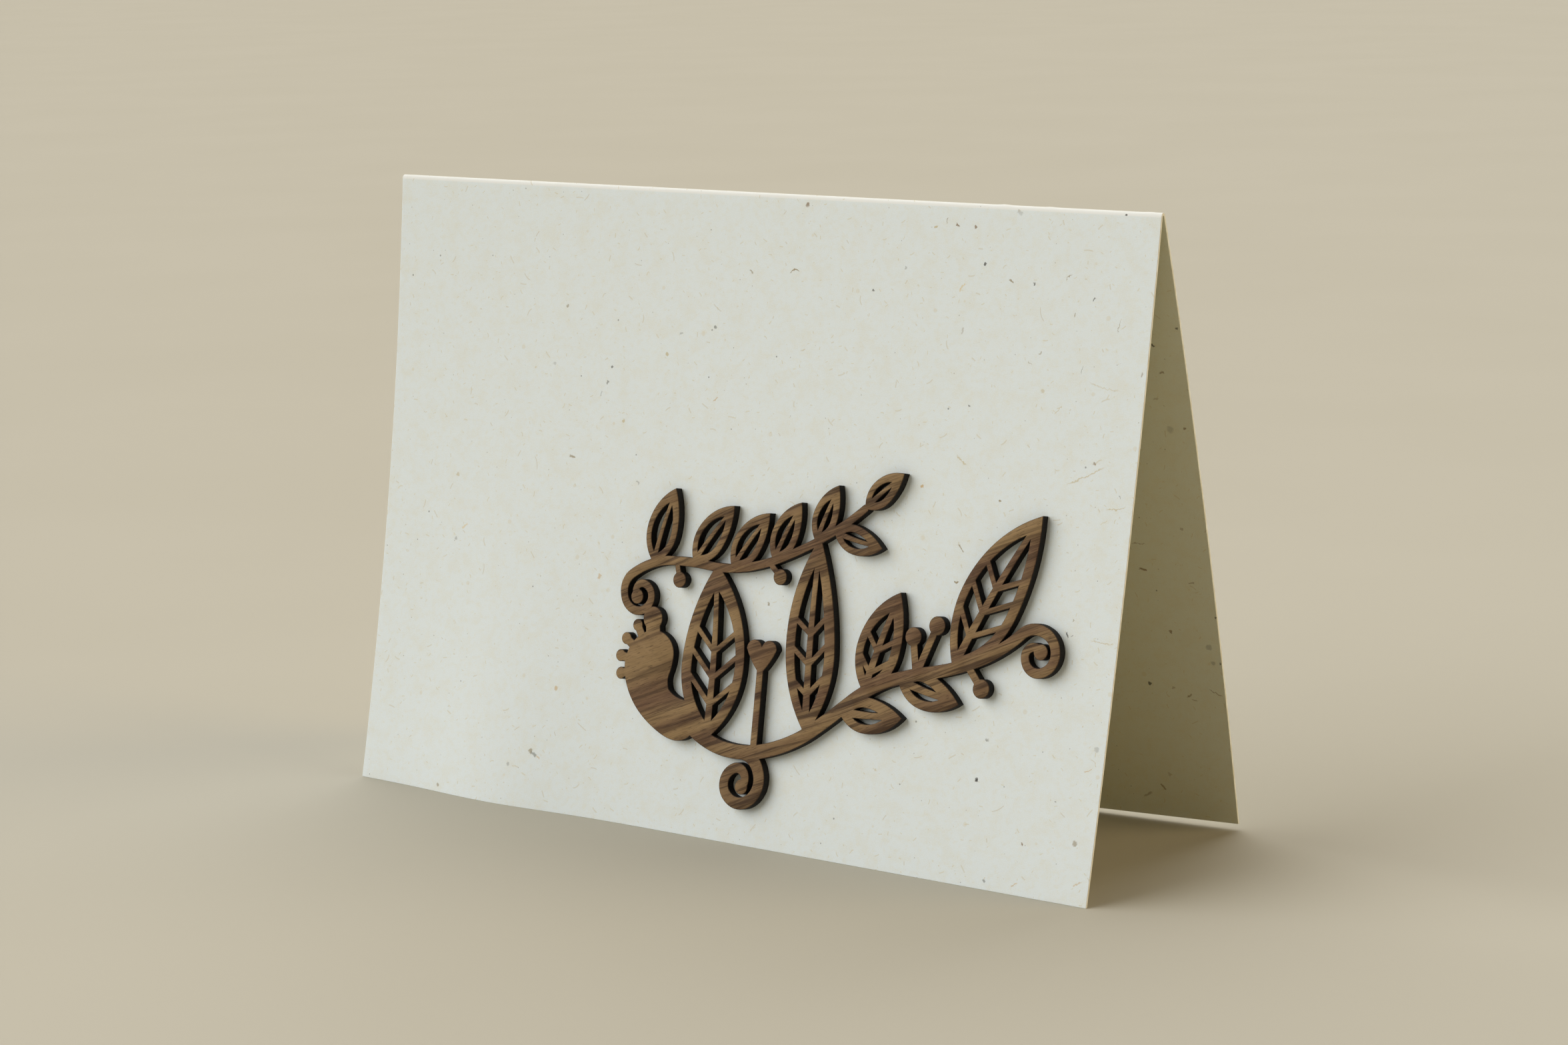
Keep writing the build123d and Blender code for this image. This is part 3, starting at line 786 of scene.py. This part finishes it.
def walnutTone(tree):
    # Walnut: broad figure, streaks, fine fibres and open pores, all drawn out along the grain.
    place = grainPlace(tree)
    lift = product(tree, grainPattern(tree, place, *wood["wanderPattern"]), wood["wander"])
    lift = node(tree, "ShaderNodeCombineXYZ", {"Y": lift}).outputs[0]
    place = node(tree, "ShaderNodeVectorMath", {0: place, 1: lift}, operation="ADD").outputs[0]
    patterns = {name: grainPattern(tree, place, *pattern) for name, pattern in wood["patterns"].items()}
    tone = wood["base"]
    for name, low, high, strength, tint in wood["broadCoats"]:
        tone = coat(tree, tone, patterns[name], low, high, strength, wood[tint])
    broken = calc(tree, "SUBTRACT", grainPattern(tree, place, *wood["brokenPattern"]), 0.5)
    height = node(tree, "ShaderNodeSeparateXYZ", {0: place}).outputs[1]
    height = calc(tree, "ADD", height, product(tree, broken, wood["brokenBy"]))
    for middle, half, strength, tint in wood["bands"]:
        away = calc(tree, "ABSOLUTE", calc(tree, "SUBTRACT", height, middle + wood["wander"] / 2))
        tone = coat(tree, tone, away, 1.15 * half, 0.5 * half, strength, wood[tint])
    for name, low, high, strength, tint in wood["fineCoats"]:
        tone = coat(tree, tone, patterns[name], low, high, strength, wood[tint])
    return tone, patterns["fibres"], ramp(tree, patterns["pores"], *wood["openPores"])


def makeWalnut():
    # The sanded face: fibres stand up a little from it and pores are open.
    material, tree, shader = newMaterial("walnutFace", *wood["faceFinish"])
    tone, fibres, pores = walnutTone(tree)
    tree.links.new(tone, shader.inputs["Base Color"])
    height = calc(tree, "SUBTRACT", product(tree, fibres, wood["fibreHeight"]), pores)
    addBump(tree, shader, height, *wood["faceRelief"])
    return material


def makeScorchedRim():
    # The face's edge, browned by the cut.
    material, tree, shader = newMaterial("scorchedRim", *wood["rimFinish"])
    tone, fibres, _ = walnutTone(tree)
    tone = blendColours(tree, wood["scorchedShare"], tone, wood["scorched"])
    tree.links.new(tone, shader.inputs["Base Color"])
    addBump(tree, shader, fibres, *wood["rimRelief"])
    return material


def makeCharredWall():
    # The cut walls: nearly black, with fine lines through the board where the beam went by.
    material, tree, shader = newMaterial("charredWall", *wood["wallFinish"])
    place = grainPlace(tree)
    lines = grainPattern(tree, place, *wood["beamPattern"])
    soot = grainPattern(tree, place, *wood["sootPattern"])
    tone = coat(tree, wood["charred"], lines, *wood["beamCoat"], wood["scorched"])
    tone = coat(tree, tone, soot, *wood["sootCoat"], wood["scorched"])
    tree.links.new(tone, shader.inputs["Base Color"])
    addBump(tree, shader, lines, *wood["wallRelief"])
    return material


ornament = buildOrnament([makeWalnut(), makeScorchedRim(), makeCharredWall()])
print("ornament cut:", len(ornament.data.polygons), "faces")


# A pale floor under wide, soft lights: mostly from a window at the left, before and behind the card

studio = {
    "floorHalf": 60.0, "floor": colour(188, 184, 171), "floorShade": colour(182, 178, 164),
    # the floor's roughness and specular level, its noise's scale and detail, and its coat of shade:
    # where on the noise it starts and is full, and its strength
    "floorFinish": (0.95, 0.0), "floorPattern": (9.0, 3.0), "floorCoat": (0.3, 0.7, 0.25),
    "world": colour(255, 243, 218), "worldStrength": 0.15, "backdrop": colour(200, 192, 171),
    # lights: where each comes from (right, back, up), how wide it is in degrees, strength and colour
    "lights": {
        "windowLight": ((-0.66, -0.56, 0.50), 60, 2.4, colour(255, 255, 254)),
        "skyLight": ((-0.40, 0.60, 0.70), 70, 2.1, colour(255, 255, 254)),
        "wallLight": ((0.93, 0.30, 0.22), 50, 2.0, colour(255, 226, 176)),
    },
}


def makeFloor():
    # A flat square, wide enough that its end isn't seen.
    material, tree, shader = newMaterial("paleFloor", *studio["floorFinish"])
    place = node(tree, "ShaderNodeTexCoord").outputs["Object"]
    pattern = noise(tree, place, *studio["floorPattern"])
    tone = coat(tree, studio["floor"], pattern, *studio["floorCoat"], studio["floorShade"])
    tree.links.new(tone, shader.inputs["Base Color"])
    half = studio["floorHalf"]
    corners = np.array([(-half, -half, 0), (half, -half, 0), (half, half, 0), (-half, half, 0)])
    floor = makeMesh("paleFloor", corners, np.array([(0, 1, 2, 3)]), [material], [0])


def lightRoom():
    # The room lights the card dimly, but what is seen beyond the floor's end has the floor's tone.
    world = bpy.data.worlds.new("softRoom")
    world.use_nodes = True
    tree = world.node_tree
    seen = node(tree, "ShaderNodeLightPath").outputs["Is Camera Ray"]
    room = blendColours(tree, seen, studio["world"], studio["backdrop"])
    tree.links.new(room, tree.nodes["Background"].inputs["Color"])
    strength = ramp(tree, seen, 0.0, 1.0, studio["worldStrength"], 1.0)
    tree.links.new(strength, tree.nodes["Background"].inputs["Strength"])
    scene.world = world
    # Each light is far away, and is as soft as it is wide.
    for name, (fromWhere, width, strength, tint) in studio["lights"].items():
        data = bpy.data.lights.new(name, "SUN")
        data.angle = math.radians(width)
        data.energy = strength
        data.color = tint[:3]
        light = bpy.data.objects.new(name, data)
        light.rotation_euler = (-Vector(fromWhere)).to_track_quat("-Z", "Y").to_euler()
        scene.collection.objects.link(light)
    scene.view_settings.view_transform = "Standard"


makeFloor()
lightRoom()
print("studio lit")
